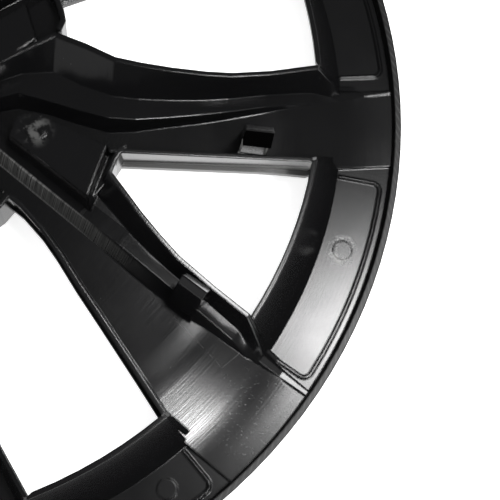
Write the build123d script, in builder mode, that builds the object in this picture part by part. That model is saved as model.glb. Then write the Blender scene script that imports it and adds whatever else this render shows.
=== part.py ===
"""One-piece moulded wheel cover, lying on its face with the back upward.

Millimetres. The wheel axis is Z, the front is at the bottom and the back at the top.
Each of the five sectors has a narrow spoke, a wide spoke, two windows, two rim panels and two spring clips.
"""
import os
from math import cos, degrees, hypot, radians, sin, tan

from build123d import *

os.makedirs("parts", exist_ok=True)

# overall
sector_count = 5
sector_angle = 360 / sector_count
outer_radius = 245.0
wall = 2.4
overlap = 0.6
full_height = 60.0

# rim edge
edge_land_width = 3.0
edge_height = 8.0
edge_bevel = 2.0
gutter_slope = 0.8
gutter_radius = outer_radius - edge_land_width - gutter_slope
rim_inner_radius = 214.0

# front skin: back face falls gently from the hub, then blends down to the rim
skin_back_rim = 3.0
skin_back_hub = 18.5
hub_radius = 50.0
skin_fall = 0.045
shoulder_radius = 184.0
rim_flat_radius = 226.0
skin_bend = 100.0
floor_step = 1.2

# windows
window_radius = 199.5
skirt_foot_radius = 216.0
land_width = 2.2
edge_top_rim = 30.0
edge_top_rise = 0.09
sheet_shift = 0.19
root_depth = 1.7
valley_share = 0.9
skirt_trim_radius = 190.0
skirt_trim_angles = (-17.0, -54.0)

# return walls beside the windows lean out over the window at the top
wall_lean = 6.0
lean_level = 33.0
lean_rise = 12.0
lean_drop = 31.0

# hub boss and web plateaus
plateau_top = 39.0
plateau_taper = 10.0
trough_back = 33.0
hub_ring = 8.0
hub_lean = 2.0

# rim panels, as start and stop angles, with a low bead round three sides
panel_angles = ((-62.8, -44.8), (-29.6, -4.0))
panel_outer_radius = 238.6
panel_corner = 5.0
bead_width = 1.9
bead_crown_width = 0.9
bead_rise = 0.5
bead_crown_rise = 0.9

# spring clips
clip_radius = 172.0
clip_width = 13.0
clip_top = 46.0
barb_height = 35.5
barb_thickness = 1.5
barb_reach = 4.2
clip_ridge_inset = 7.8
clip_stem_step = 0.4
clip_back_run = 3.5
clip_back_drop = 3.0
clip_foot_run = 9.6
wide_clip_edge = 12.9
narrow_clip_edge = -20.6
clip_opening_width = 11.0
clip_opening_gap = 0.3

# ejector marks: low round pads left by the mould
ejector_radius = 4.6
ejector_rise = 0.25
ejector_marks = ((226.4, -13.4), (225.8, -49.2))
plateau_mark = (73.0, -22.0)

wide_spoke_angle = -31.5

# stations across the narrow spoke: distance out, window edge, valley, crest, foot of the crest,
# and height of the crest over the spoke floor
narrow_stations = (
    (50.0, 6.5, 2.0, -6.5, -10.0, 8.6),
    (62.0, 15.5, 8.0, -1.5, -6.0, 9.0),
    (76.0, 25.5, 11.0, -3.7, -7.0, 9.0),
    (90.0, 21.8, 6.0, -6.1, -9.8, 9.0),
    (104.0, 17.0, 3.2, -8.0, -12.0, 9.0),
    (116.0, 16.3, 3.6, -7.0, -9.8, 8.5),
    (130.0, 16.2, 5.4, -3.8, -5.8, 7.4),
    (146.0, 16.9, 8.2, 0.5, -1.6, 6.0),
    (158.0, 18.2, 11.0, 4.0, 2.0, 4.8),
    (176.0, 22.2, 16.4, 9.8, 8.0, 2.8),
    (198.5, 29.1, 22.0, 17.0, 15.2, 1.5),
    (213.5, 30.2, 25.6, 22.4, 21.0, 0.8),
    (226.0, 32.2, 28.7, 26.3, 25.1, 0.6),
    (242.5, 34.8, 32.0, 30.8, 29.8, 0.4),
)
narrow_wall = ((106.0, -27.9), (199.2, -19.7), (213.0, -12.8), (outer_radius, -7.6))

# the same across the wide spoke, along its own direction
wide_stations = (
    (110.0, 25.4, 15.5, 2.8, -0.5, 9.6),
    (121.0, 22.4, 13.2, 3.0, -1.1, 9.4),
    (133.0, 18.9, 10.6, 2.8, -1.9, 9.0),
    (146.0, 15.9, 8.8, 2.4, -2.7, 8.2),
    (158.0, 13.7, 8.0, 2.1, -3.2, 7.2),
    (179.0, 12.6, 7.4, 1.6, -2.6, 5.0),
    (198.5, 12.3, 6.8, 1.3, -1.0, 3.2),
    (214.5, 9.9, 5.6, 1.8, 0.2, 1.4),
    (226.0, 9.0, 5.4, 2.3, 1.0, 0.8),
    (242.5, 8.0, 5.0, 2.9, 2.0, 0.4),
)
wide_inner_stations = (
    (48.0, 15.0, 10.5, 5.4, 1.8, 8.6),
    (82.0, 14.0, 9.0, 3.4, 0.6, 9.4),
    (wide_stations[0][0], 13.0, 8.4, *wide_stations[0][3:]),
)
wide_wall = ((84.6, -11.9), (90.3, -12.0), (103.2, -14.6), (114.2, -18.2), (130.0, -24.3), (148.4, -30.7),
             (193.8, -46.8), (212.0, -48.0), (241.0, -49.6))

# inner ends of the two windows
wide_gap_end = ((113.6, -24.0), (110.0, -31.4), (108.2, -38.2))
narrow_gap_end = ((84.8, -11.0), (84.6, -18.5), (83.2, -23.6), (81.2, -28.3), (76.5, -31.6))

# web plateaus beside the inner ends, the second one along the wide spoke
plateau_outline = ((61.9, -25.6), (64.2, -16.2), (71.5, -13.8), (105.0, -25.6), (99.2, -49.6))
narrow_floor_corner = (60.0, -24.0)
wide_floor_corner = -13.0
trough_corner = (112.0, 14.0)
second_outline = ((46.0, -28.6), (65.0, -28.0), (70.4, -11.4), (46.0, -11.4))


def skin_back(radius):
    """Height of the back face of the front skin at a radius."""
    shoulder = skin_back_hub - skin_fall * (shoulder_radius - hub_radius)
    if radius <= shoulder_radius:
        return skin_back_hub - skin_fall * (max(radius, hub_radius) - hub_radius)
    share = (radius - shoulder_radius) / (rim_flat_radius - shoulder_radius)
    return shoulder + (skin_back_rim - shoulder) * min(share, 1.0)


def edge_top(radius):
    """Height of the window edges: rising to the hub, and falling down the skirt to the rim."""
    skirt_top = window_radius + land_width
    if radius <= skirt_top:
        return edge_top_rim + edge_top_rise * (skirt_top - radius)
    slope = (edge_top_rim - skin_back(skirt_foot_radius)) / (skirt_foot_radius - skirt_top)
    return max(edge_top_rim - slope * (radius - skirt_top), skin_back(radius))


def turned(point, angle):
    """A plan point turned about the wheel axis."""
    x, y = point
    c, s = cos(radians(angle)), sin(radians(angle))
    return (x * c - y * s, x * s + y * c)


def turned_all(points, angle):
    return [turned(point, angle) for point in points]


def unit(a, b):
    length = hypot(b[0] - a[0], b[1] - a[1])
    return ((b[0] - a[0]) / length, (b[1] - a[1]) / length)


def right_of(before, corner, after, depth):
    """A corner of a folded line moved to the right of its direction."""
    first, second = unit(before, corner), unit(corner, after)
    n1, n2 = (first[1], -first[0]), (second[1], -second[0])
    scale = depth / (1 + n1[0] * n2[0] + n1[1] * n2[1])
    return (corner[0] + scale * (n1[0] + n2[0]), corner[1] + scale * (n1[1] + n2[1]))


def strip(line, depth):
    """Closed outline of a strip along a folded line, laid to the right of it."""
    ends = (line[0],) + tuple(line) + (line[-1],)
    moved = []
    for i, corner in enumerate(line):
        before, after = ends[i], ends[i + 2]
        if before == corner:
            before = (2 * corner[0] - after[0], 2 * corner[1] - after[1])
        if after == corner:
            after = (2 * corner[0] - before[0], 2 * corner[1] - before[1])
        moved.append(right_of(before, corner, after, depth))
    return list(line) + moved[::-1]


def flank_section(station, level_ledge=False):
    """Folded sheet across a spoke: foot, crest, ledge, valley and slope up to the window edge."""
    along, edge, valley, crest, foot, rise = station
    floor = skin_back(hypot(along, crest)) + floor_step
    reach = hypot(along, edge)
    top = min(edge_top(reach), plateau_top)
    if reach > window_radius + land_width:
        top = max(top - wall / 2, skin_back(reach) - 1.5 * overlap)
    if level_ledge:
        top = floor + rise
    run = min((crest - foot) * root_depth / rise, root_depth)
    root_point = (foot - run, floor - root_depth)
    crest_point = (crest, floor + rise)
    valley_point = (valley, floor + valley_share * rise)
    top_point = (edge - land_width, top)
    upper = (root_point, crest_point, valley_point, top_point, (edge, top))
    shift = sheet_shift * rise
    base = max(top - wall, skin_back(reach) - wall + overlap / 2)
    lower = [(across + shift, height - wall) for across, height in upper[2:0:-1]]
    root_under = (root_point[0] + shift + overlap, root_point[1] - overlap)
    return (*upper, (edge, base), (edge - land_width + shift, base), *lower, root_under)


def station_plane(along, angle):
    """Upright plane across a spoke: its x runs anticlockwise and its y runs up."""
    origin = turned((along, 0.0), angle)
    ahead = turned((1.0, 0.0), angle)
    across = turned((0.0, 1.0), angle)
    return Plane(origin=(*origin, 0), x_dir=(*across, 0), z_dir=(*ahead, 0))


def clip_profile(edge, inward, floor):
    """Spring clip across the spoke, measured inward from the window edge."""
    ridge = clip_ridge_inset
    stem = ridge - clip_stem_step
    shape = ((stem, floor), (stem, barb_height - barb_thickness), (ridge - barb_reach, barb_height),
             (ridge, clip_top), (ridge + clip_back_run, clip_top - clip_back_drop),
             (ridge + clip_foot_run, floor))
    return [(edge + inward * w, z) for w, z in shape]


def wall_line_at(along):
    """Window edge of the narrow spoke's wall at a distance out."""
    (u0, v0), (u1, v1) = narrow_wall[:2]
    return v0 + (v1 - v0) * (along - u0) / (u1 - u0)


profile_radii = (hub_radius, shoulder_radius, rim_flat_radius)
lean = tan(radians(wall_lean))


def skin_band(low, high, *ends):
    """Closed section of a band that follows the front skin, between two heights over its back face."""
    radii = (0.0, *profile_radii, *ends)
    with BuildLine() as outline:
        FilletPolyline(*[(r, skin_back(r) + high) for r in radii], radius=skin_bend)
        FilletPolyline(*[(r, skin_back(r) + low) for r in radii], radius=skin_bend)
        for r in (radii[0], radii[-1]):
            Line((r, skin_back(r) + low), (r, skin_back(r) + high))
    return outline.line


def panel_face(start, stop, inset):
    """Rim panel drawn in from the outer side of its bead, running on under the skirt."""
    turn = degrees(inset / panel_outer_radius)
    sides = (start + turn, stop - turn)
    near, far = skirt_foot_radius - wall, panel_outer_radius - inset
    with BuildSketch() as panel:
        with BuildLine():
            for radius in (near, far):
                CenterArc((0, 0), radius, sides[0], sides[1] - sides[0])
            for side in sides:
                Line(turned((near, 0), side), turned((far, 0), side))
        make_face()
        fillet(panel.vertices().sort_by(SortBy.DISTANCE, reverse=True)[:2], panel_corner - inset)
    return panel.sketch


# plan outlines of the spoke floors
narrow_floor = [(s[0], s[4] + wall) for s in narrow_stations]
narrow_floor += [*reversed(narrow_wall), narrow_floor_corner]
wide_floor = [(s[0], s[4] + wall) for s in wide_inner_stations[:-1] + wide_stations]
wide_floor += [*reversed(wide_wall), (wide_inner_stations[0][0], wide_floor_corner)]
wide_floor = turned_all(wide_floor, wide_spoke_angle)

# front skin with the spoke floors, trimmed to its plan
with BuildPart() as skin:
    with BuildSketch(Plane.XZ):
        make_face(skin_band(-wall, 0.0).edges())
    revolve(axis=Axis.Z)
    with BuildSketch():
        Circle(hub_radius + hub_ring)
        Circle(hub_radius - wall, mode=Mode.SUBTRACT)
        with PolarLocations(0, sector_count):
            Polygon(*narrow_floor, align=None)
            Polygon(*wide_floor, align=None)
            Polygon(*plateau_outline, align=None)
            Polygon(*turned_all(second_outline, wide_spoke_angle), align=None)
    extrude(amount=full_height, mode=Mode.INTERSECT)

with BuildPart() as floors:
    with BuildSketch(Plane.XZ):
        make_face(skin_band(-overlap, floor_step, gutter_radius + overlap).edges())
    revolve(axis=Axis.Z)
    with BuildSketch():
        with PolarLocations(0, sector_count):
            Polygon(*narrow_floor, align=None)
            Polygon(*wide_floor, align=None)
        Circle(gutter_radius + overlap, mode=Mode.INTERSECT)
    extrude(amount=full_height, mode=Mode.INTERSECT)

# flat rim band with the outer edge
with BuildPart() as edge:
    with BuildSketch(Plane.XZ):
        with BuildLine():
            Polyline((rim_inner_radius, skin_back_rim - wall), (gutter_radius, skin_back_rim - wall),
                     (gutter_radius, 0), (outer_radius - edge_bevel, 0), (outer_radius, edge_bevel),
                     (outer_radius, edge_height),
                     (outer_radius - edge_land_width, edge_height), (gutter_radius, skin_back_rim),
                     (rim_inner_radius, skin_back_rim), close=True)
        make_face()
    revolve(axis=Axis.Z)

# plain boss at the hub
with BuildPart() as hub:
    with BuildSketch(Plane.XZ):
        with BuildLine():
            top_radius = hub_radius - hub_lean
            base_radius = hub_radius + hub_lean
            Polyline((0, plateau_top), (top_radius, plateau_top), (base_radius, skin_back_hub - overlap),
                     (base_radius - wall, skin_back_hub - wall), (top_radius - wall, plateau_top - wall),
                     (0, plateau_top - wall), close=True)
        make_face()
    revolve(axis=Axis.Z)

# walls beside the windows stay under this revolved envelope
with BuildPart() as envelope:
    with BuildSketch(Plane.XZ):
        with BuildLine():
            top = [(r, edge_top(r)) for r in (0.0, window_radius)]
            top += [(window_radius + land_width, edge_top_rim - wall)]
            top += [(skirt_foot_radius - wall, skin_back(skirt_foot_radius) - overlap)]
            foot = [(r, skin_back(r) - wall) for r in reversed(profile_radii)]
            Polyline(*top, *foot[1:], (0, skin_back_hub - wall), close=True)
        make_face()
    revolve(axis=Axis.Z)

# skirts: slopes from the rim panels up to the rim side of each window
with BuildPart() as skirts:
    with BuildSketch(Plane.XZ):
        with BuildLine():
            under = skin_back_rim - wall + overlap
            Polyline((skirt_foot_radius + wall, under), (skirt_foot_radius + wall, skin_back_rim - overlap),
                     (skirt_foot_radius, skin_back_rim), (window_radius + land_width, edge_top_rim),
                     (window_radius, edge_top_rim), (window_radius, edge_top_rim - wall),
                     (skirt_foot_radius - wall - overlap, under), close=True)
        make_face()
    revolve(axis=Axis.Z)
    wide_side = turned_all([(s[0], s[1] - overlap) for s in wide_stations[-4:-1]], wide_spoke_angle)
    next_side = turned_all([(s[0], s[1] - overlap) for s in narrow_stations[-4:-1]], -sector_angle)
    wide_back = turned_all([(u, v + wall / 2) for u, v in wide_wall[-3:]], wide_spoke_angle)
    narrow_back = [(u, v + wall / 2) for u, v in narrow_wall[-3:]]
    skirt_trims = [turned((skirt_trim_radius, 0.0), angle) for angle in skirt_trim_angles]
    with BuildSketch():
        with PolarLocations(0, sector_count):
            Polygon(*narrow_back, *reversed(wide_side), skirt_trims[0], align=None)
            Polygon(*wide_back, *reversed(next_side), skirt_trims[1], align=None)
    extrude(amount=full_height, mode=Mode.INTERSECT)

with BuildPart() as walls:
    for angle, line in ((0.0, narrow_wall[:3]), (wide_spoke_angle, wide_wall[:8])):
        outline = turned_all(strip(line[::-1], wall), angle)
        across = turned((0.0, 1.0), angle)
        for sign, reach in ((1, lean_rise), (-1, lean_drop)):
            with BuildSketch(Plane.XY.offset(lean_level)):
                Polygon(*outline, align=None)
            extrude(amount=reach, dir=(-sign * across[0] * lean, -sign * across[1] * lean, sign))
    for line in (wide_gap_end, turned_all(narrow_gap_end, wide_spoke_angle)):
        with BuildSketch():
            Polygon(*strip(line, wall), align=None)
        extrude(amount=full_height)
    add(envelope.part, mode=Mode.INTERSECT)

# crest, ledge and slope along the other side of each spoke
with BuildPart() as flanks:
    for angle, stations, level in ((0.0, narrow_stations, False), (wide_spoke_angle, wide_stations, False),
                                   (wide_spoke_angle, wide_inner_stations, True)):
        for station in stations:
            with BuildSketch(station_plane(station[0], angle)):
                Polygon(*flank_section(station, level), align=None)
        loft(ruled=True)

# hollow web plateaus and the troughs between them and the inner window ends
second_plan = turned_all(second_outline, wide_spoke_angle)
with BuildPart() as plateaus:
    for outline in (plateau_outline, second_plan):
        with BuildSketch(Plane.XY.offset(plateau_top)):
            Polygon(*outline, align=None)
        extrude(amount=skin_back_hub - wall - plateau_top, taper=-plateau_taper)
    trough = [plateau_outline[3], *wide_gap_end, turned(trough_corner, wide_spoke_angle), plateau_outline[4]]
    second_trough = [second_plan[2], *turned_all(narrow_gap_end, wide_spoke_angle), second_plan[1]]
    for outline in (trough, second_trough):
        with BuildSketch(Plane.XY.offset(trough_back - wall)):
            Polygon(*outline, align=None)
        extrude(amount=wall)

with BuildPart() as hollows:
    for outline in (plateau_outline, second_plan):
        with BuildSketch(Plane.XY.offset(plateau_top - wall)):
            Polygon(*outline, align=None)
            offset(amount=-wall, kind=Kind.INTERSECTION, mode=Mode.REPLACE)
        extrude(amount=-plateau_top, taper=-plateau_taper / 4)

with BuildPart() as clips:
    for angle, line, inward in ((0.0, narrow_clip_edge, 1), (wide_spoke_angle, wide_clip_edge, -1)):
        with BuildSketch(station_plane(clip_radius - clip_width / 2, angle)):
            Polygon(*clip_profile(line, inward, skin_back(clip_radius) - wall / 2), align=None)
        extrude(amount=clip_width)

# opening in the narrow spoke's floor under the barb of its clip
with BuildPart() as clip_openings:
    far = narrow_clip_edge + clip_ridge_inset - clip_stem_step - clip_opening_gap
    wall_shift = (lean_level - skin_back(clip_radius)) * lean
    near = wall_line_at(clip_radius) + wall + wall_shift + clip_opening_gap
    with BuildSketch():
        with Locations((clip_radius, (near + far) / 2)):
            Rectangle(clip_opening_width, far - near)
    extrude(amount=skin_back_hub + floor_step)

# beads round the rim panels
with BuildPart() as beads:
    for width, rise in ((bead_width, bead_rise), (bead_crown_width, bead_crown_rise)):
        margin = (bead_width - width) / 2
        with BuildPart():
            with BuildSketch(Plane.XY.offset(skin_back_rim - wall / 3)):
                for start, stop in panel_angles:
                    add(panel_face(start, stop, margin))
                for start, stop in panel_angles:
                    add(panel_face(start, stop, margin + width), mode=Mode.SUBTRACT)
                Circle(skirt_foot_radius + overlap, mode=Mode.SUBTRACT)
            extrude(amount=wall / 3 + rise)

with BuildPart() as marks:
    for radius, angle in ejector_marks:
        x, y = turned((radius, 0.0), angle)
        with Locations((x, y, skin_back_rim - overlap)):
            Cylinder(ejector_radius, overlap + ejector_rise, align=(Align.CENTER, Align.CENTER, Align.MIN))
    with Locations((plateau_mark[0], plateau_mark[1], plateau_top - overlap)):
        Cylinder(ejector_radius, overlap + ejector_rise, align=(Align.CENTER, Align.CENTER, Align.MIN))

with BuildPart() as wheel_cover:
    add(skin.part, clean=False)
    add(floors.part, clean=False)
    add(edge.part, clean=False)
    add(hub.part, clean=False)
    add(skirts.part, clean=False)
    with PolarLocations(0, sector_count):
        add(walls.part, clean=False)
        add(flanks.part, clean=False)
        add(plateaus.part, clean=False)
        add(clips.part, clean=False)
        add(beads.part, clean=False)
        add(marks.part, clean=False)
    with PolarLocations(0, sector_count):
        add(hollows.part, mode=Mode.SUBTRACT, clean=False)
        add(clip_openings.part, mode=Mode.SUBTRACT, clean=False)

wheel_cover.part.label = "wheel_cover"
export_step(wheel_cover.part, "parts/wheel_cover.step")
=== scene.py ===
import math

import bpy
from mathutils import Matrix, Vector

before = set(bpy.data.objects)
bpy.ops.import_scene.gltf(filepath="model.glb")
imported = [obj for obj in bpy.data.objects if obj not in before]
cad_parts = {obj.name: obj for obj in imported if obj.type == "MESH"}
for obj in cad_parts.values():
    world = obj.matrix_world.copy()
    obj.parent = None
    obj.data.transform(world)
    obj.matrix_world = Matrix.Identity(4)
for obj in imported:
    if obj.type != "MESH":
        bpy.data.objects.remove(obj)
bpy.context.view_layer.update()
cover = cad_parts["wheel_cover"]

# places on the cover, in metres
PAD_MARK = (0.2203, -0.0525)
PLATEAU_MARK = (0.073, -0.022)
SCRATCH_PATCH = (0.188, -0.137)
CLIP_FACE = (0.172, -0.01319)
WIDE_SPOKE = math.radians(-31.5)

scene = bpy.context.scene
scene.view_settings.view_transform = "Standard"


class Graph:
    """Small helper for wiring shader nodes."""

    def __init__(self, tree):
        self.tree = tree

    def add(self, kind, **settings):
        node = self.tree.nodes.new(kind)
        for name, value in settings.items():
            setattr(node, name, value)
        return node

    def put(self, socket, value):
        if isinstance(value, bpy.types.NodeSocket):
            self.tree.links.new(value, socket)
        else:
            socket.default_value = value

    def math(self, operation, a, b=None):
        node = self.add("ShaderNodeMath", operation=operation)
        self.put(node.inputs[0], a)
        if b is not None:
            self.put(node.inputs[1], b)
        return node.outputs[0]

    def band(self, value, low, high):
        """Smooth step from 0 at low to 1 at high."""
        node = self.add("ShaderNodeMapRange", interpolation_type="SMOOTHSTEP")
        self.put(node.inputs[0], value)
        node.inputs[1].default_value = low
        node.inputs[2].default_value = high
        return node.outputs[0]

    def fall(self, value, low, high):
        """Smooth step from 1 at low to 0 at high."""
        return self.math("SUBTRACT", 1.0, self.band(value, low, high))

    def times(self, first, *others):
        for other in others:
            first = self.math("MULTIPLY", first, other)
        return first

    def most(self, first, *others):
        for other in others:
            first = self.math("MAXIMUM", first, other)
        return first

    def length(self, x, y):
        return self.math("SQRT", self.math("ADD", self.times(x, x), self.times(y, y)))

    def noise(self, vector, scale, detail=3.0, roughness=0.55):
        node = self.add("ShaderNodeTexNoise")
        self.put(node.inputs["Vector"], vector)
        node.inputs["Scale"].default_value = scale
        node.inputs["Detail"].default_value = detail
        node.inputs["Roughness"].default_value = roughness
        return node.outputs[0]

    def vector(self, x, y, z):
        node = self.add("ShaderNodeCombineXYZ")
        for socket, value in zip(node.inputs, (x, y, z)):
            self.put(socket, value)
        return node.outputs[0]

    def mix(self, factor, a, b):
        node = self.add("ShaderNodeMix", data_type="FLOAT")
        self.put(node.inputs[0], factor)
        self.put(node.inputs[2], a)
        self.put(node.inputs[3], b)
        return node.outputs[0]

    def blend(self, factor, a, b):
        """Mix of two colours."""
        node = self.add("ShaderNodeMix", data_type="RGBA")
        self.put(node.inputs[0], factor)
        self.put(node.inputs[6], a)
        self.put(node.inputs[7], b)
        return node.outputs[2]


def cover_material():
    """Black moulded plastic with turning marks, scuffs and a patterned outer edge, plus painted highlights, a painted
    reflection and painted shade near the spokes' clips and walls.
    """
    material = bpy.data.materials.new("cover")
    material.use_nodes = True
    g = Graph(material.node_tree)
    shader = material.node_tree.nodes["Principled BSDF"]
    where = g.add("ShaderNodeTexCoord").outputs["Object"]
    parts = g.add("ShaderNodeSeparateXYZ")
    g.put(parts.inputs[0], where)
    x, y, z = parts.outputs
    radius = g.length(x, y)
    angle = g.math("ARCTAN2", y, x)

    # directions along and across the wide spoke
    along = g.math("ADD", g.times(x, math.cos(WIDE_SPOKE)), g.times(y, math.sin(WIDE_SPOKE)))
    across = g.math("SUBTRACT", g.times(y, math.cos(WIDE_SPOKE)), g.times(x, math.sin(WIDE_SPOKE)))

    def distance(place):
        return g.length(g.math("SUBTRACT", x, place[0]), g.math("SUBTRACT", y, place[1]))

    def off(value, centre):
        return g.math("ABSOLUTE", g.math("SUBTRACT", value, centre))

    def between(value, low, high):
        return g.times(g.band(value, low - 0.0005, low), g.fall(value, high, high + 0.0005))

    # turning marks follow the radius, with breaks along each line
    turning = g.noise(g.vector(g.times(radius, 1100.0), g.times(angle, 9.0), 0.0), 1.0, 2.0)
    grain = g.noise(where, 1500.0, 2.0)
    cloud = g.noise(where, 28.0, 4.0)
    # the rim panels are smoother than the spokes
    panels = g.times(g.band(radius, 0.2135, 0.2145), g.fall(z, 0.0036, 0.004))
    height = g.math("ADD", g.times(turning, 0.7), g.times(grain, 0.3))
    height = g.times(height, g.mix(panels, 1.0, 0.4))

    # patterned outer edge: short light patches round the land
    edge_zone = g.times(g.band(radius, 0.2421, 0.2426), g.fall(radius, 0.2444, 0.2449))
    waves = g.math("SINE", g.math("ADD", g.times(angle, 330.0), g.times(radius, 2600.0)))
    waves = g.math("ADD", waves, g.times(g.noise(where, 160.0, 2.0), 1.6))
    patches = g.times(g.band(waves, 0.9, 2.2), edge_zone, 0.07)

    # whitish scuffs round two ejector marks, a scratched patch and dust
    speck = g.noise(where, 420.0, 3.0, 0.7)
    smear = g.noise(where, 130.0, 3.0, 0.65)
    pad_far = distance(PAD_MARK)
    pad_ring = g.math("SUBTRACT", g.band(pad_far, 0.0022, 0.0042), g.band(pad_far, 0.0052, 0.0085))
    pad_scuff = g.times(pad_ring, g.band(smear, 0.42, 0.62), 0.7)
    top_scuff = g.times(g.fall(distance(PLATEAU_MARK), 0.003, 0.0095), g.band(smear, 0.46, 0.62), 0.13)
    scratches = g.noise(g.vector(g.times(x, 500.0), g.times(y, 900.0), 0.0), 1.0, 3.0, 0.7)
    patch_scuff = g.times(g.fall(distance(SCRATCH_PATCH), 0.008, 0.03), g.band(scratches, 0.6, 0.68), 0.16)
    dust = g.times(g.band(speck, 0.74, 0.8), 0.3)

    # brushed strip below the wide spoke's crest: the brush streaks are the plastic's own marks, and their brightness
    # is a painted highlight
    middle = g.math("SUBTRACT", 0.0053, g.times(along, 0.0372))
    strip_highlight_zone = g.fall(off(across, middle), 0.0014, 0.0026)
    strip_highlight_zone = g.times(strip_highlight_zone, g.band(along, 0.04, 0.07), g.fall(along, 0.08, 0.16))
    brushed = g.noise(g.vector(g.times(along, 1700.0), g.times(across, 60.0), 0.0), 1.0, 2.0)
    # painted highlight on the brushed strip, broken up by the brush streaks
    strip_painted_highlight = g.times(strip_highlight_zone, g.band(brushed, 0.2, 0.7), 0.3)

    # fine line of a mould insert beside the wide spoke's clip
    side = g.math("ADD", g.math("ADD", across, 0.0065), g.times(g.math("SUBTRACT", along, 0.1698), 0.137))
    end = g.math("SUBTRACT", g.math("SUBTRACT", along, 0.2026), g.times(g.math("ADD", across, 0.011), 0.24))
    side_line = g.times(g.fall(off(side, 0.0), 0.00012, 0.0004), between(along, 0.17, 0.2026))
    end_line = g.times(g.fall(off(end, 0.0), 0.00012, 0.0004), between(across, -0.011, -0.001))
    insert = g.times(g.most(side_line, end_line), g.band(smear, 0.4, 0.65), 0.05)

    # narrow spoke's clip: painted highlight on the face under the barb, brighter at its sides, and painted shade that
    # makes the barb black with its shine turned off
    clip_off = off(x, CLIP_FACE[0])
    clip_zone = g.fall(clip_off, 0.0066, 0.0068)
    clip_highlight_sides = g.mix(g.band(clip_off, 0.0054, 0.0058), g.times(speck, 0.5), 1.0)
    # painted highlight on the clip's face under the barb
    clip_painted_highlight = g.times(clip_zone, g.fall(off(y, CLIP_FACE[1]), 0.0003, 0.0005), g.fall(z, 0.0338, 0.0342), clip_highlight_sides)
    # painted shade: the clip's barb is made black
    barb_painted_shade = g.times(clip_zone, g.band(y, -0.0175, -0.0172), g.fall(y, -0.0132, -0.0129), g.band(z, 0.0344, 0.0348))

    # painted reflection of the floor: pale band at the foot of the narrow spoke's wall
    wall_line = g.math("SUBTRACT", y, g.math("ADD", g.times(x, 0.08798), -0.03723))
    wall_painted_reflection = g.times(g.fall(off(wall_line, 0.001), 0.0016, 0.0019), g.fall(z, 0.018, 0.021))
    # painted reflection on the lower part of the narrow spoke's wall
    wall_painted_reflection = g.times(wall_painted_reflection, g.band(x, 0.1, 0.104), g.fall(x, 0.2, 0.202), 0.3)
    # pale colour for the real scuffs, dust, edge patterns and insert line, and for the painted highlights and painted
    # reflection
    marks_and_painted_light = g.most(pad_scuff, top_scuff, patch_scuff, dust, strip_painted_highlight, patches, insert, clip_painted_highlight, wall_painted_reflection)

    # duller ledge between the wide spoke's crest and its clip, and duller floor towards the clip
    dull_ledge = g.times(between(along, 0.112, 0.165), between(across, 0.002, 0.0105))
    dull_floor = g.times(g.band(across, -0.036, -0.01), g.fall(across, 0.0, 0.002))
    dull_floor = g.times(dull_floor, g.band(along, 0.15, 0.175), g.fall(along, 0.225, 0.24), 0.8)
    dull = g.most(dull_ledge, dull_floor)

    colour = g.blend(marks_and_painted_light, (0.004, 0.004, 0.0043, 1.0), (0.42, 0.42, 0.41, 1.0))
    # the barb gets its painted black shade here, and its shine is turned off below
    g.put(shader.inputs["Base Color"], g.blend(barb_painted_shade, colour, (0.001, 0.001, 0.001, 1.0)))
    rough = g.math("ADD", 0.1, g.times(cloud, 0.1))
    rough = g.math("ADD", rough, g.times(g.band(radius, 0.17, 0.2), 0.05))
    rough = g.math("ADD", rough, g.times(g.band(radius, 0.2405, 0.242), 0.2))
    g.put(shader.inputs["Roughness"], g.mix(marks_and_painted_light, rough, 0.6))
    shader.inputs["IOR"].default_value = 1.5
    g.put(shader.inputs["Specular IOR Level"], g.mix(barb_painted_shade, g.mix(dull, 0.5, 0.15), 0.0))

    # rounded edges, rounder on the web plateaus than on the rest
    plateau = g.times(g.band(z, 0.0335, 0.036), g.fall(radius, 0.112, 0.118))
    soft_edge = g.add("ShaderNodeBevel", samples=6)
    g.put(soft_edge.inputs["Radius"], g.mix(plateau, 0.0011, 0.0018))
    bump = g.add("ShaderNodeBump")
    bump.inputs["Strength"].default_value = 0.1
    bump.inputs["Distance"].default_value = 0.0004
    g.put(bump.inputs["Height"], height)
    g.put(bump.inputs["Normal"], soft_edge.outputs[0])
    g.put(shader.inputs["Normal"], bump.outputs[0])
    return material


def plain_material(name, colour):
    material = bpy.data.materials.new(name)
    material.use_nodes = True
    shader = material.node_tree.nodes["Principled BSDF"]
    shader.inputs["Base Color"].default_value = colour
    shader.inputs["Roughness"].default_value = 0.9
    shader.inputs["Specular IOR Level"].default_value = 0.0
    return material


cover.data.materials.clear()
cover.data.materials.append(cover_material())

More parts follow.
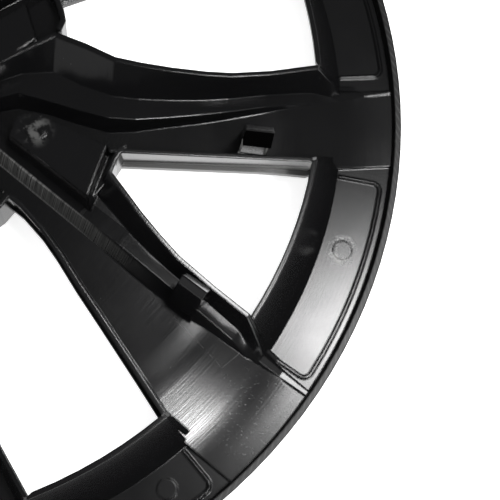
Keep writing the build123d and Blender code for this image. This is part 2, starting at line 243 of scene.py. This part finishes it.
# pale floor
bpy.ops.mesh.primitive_plane_add(size=12.0, location=(0.0, 0.0, -0.0005))
floor = bpy.context.object
floor.name = "floor"
floor_paint = plain_material("floor", (0.93, 0.93, 0.93, 1.0))
glow = floor_paint.node_tree.nodes["Principled BSDF"].inputs
glow["Emission Color"].default_value = (1.0, 1.0, 1.0, 1.0)
glow["Emission Strength"].default_value = 0.7
floor.data.materials.append(floor_paint)


def softbox(name, centre, aim, width, depth, power):
    """Rectangular soft light at a place, turned to face a point."""
    lamp = bpy.data.lights.new(name, "AREA")
    lamp.shape = "RECTANGLE"
    lamp.size = width
    lamp.size_y = depth
    lamp.energy = power
    holder = bpy.data.objects.new(name, lamp)
    scene.collection.objects.link(holder)
    direction = Vector(aim) - Vector(centre)
    holder.location = centre
    holder.rotation_euler = direction.to_track_quat("-Z", "Y").to_euler()
    return holder


softbox("panel_light", (0.43, 0.07, 1.0), (0.2, -0.08, 0.0), 0.22, 0.2, 4.2)
softbox("spoke_light", (0.635, -0.41, 1.0), (0.17, -0.14, 0.0), 0.15, 0.15, 4.8)
softbox("low_fill", (-0.9, -1.2, 0.55), (0.1, -0.05, 0.02), 1.2, 0.5, 0.8)

# room: bright for the floor, dim in the plastic's reflections
world = bpy.data.worlds.new("room")
scene.world = world
world.use_nodes = True
room = Graph(world.node_tree)
background = world.node_tree.nodes["Background"]
background.inputs["Color"].default_value = (1.0, 1.0, 1.0, 1.0)
path = room.add("ShaderNodeLightPath")
room.put(background.inputs["Strength"], room.mix(path.outputs["Is Glossy Ray"], 1.05, 0.06))

# camera at the photo's viewing angle
right = Vector((0.98995, 0.07937, 0.11701))
up = Vector((-0.10537, 0.96597, 0.23621))
ahead = Vector((0.09428, 0.24617, -0.96463))
eye = Vector((0.12456, -0.19134, 0.52881))
lens = bpy.data.cameras.new("camera")
lens.sensor_width = 36.0
lens.lens = 82.8
camera = bpy.data.objects.new("camera", lens)
scene.collection.objects.link(camera)
camera.matrix_world = Matrix.Translation(eye) @ Matrix((right, up, -ahead)).transposed().to_4x4()
scene.camera = camera
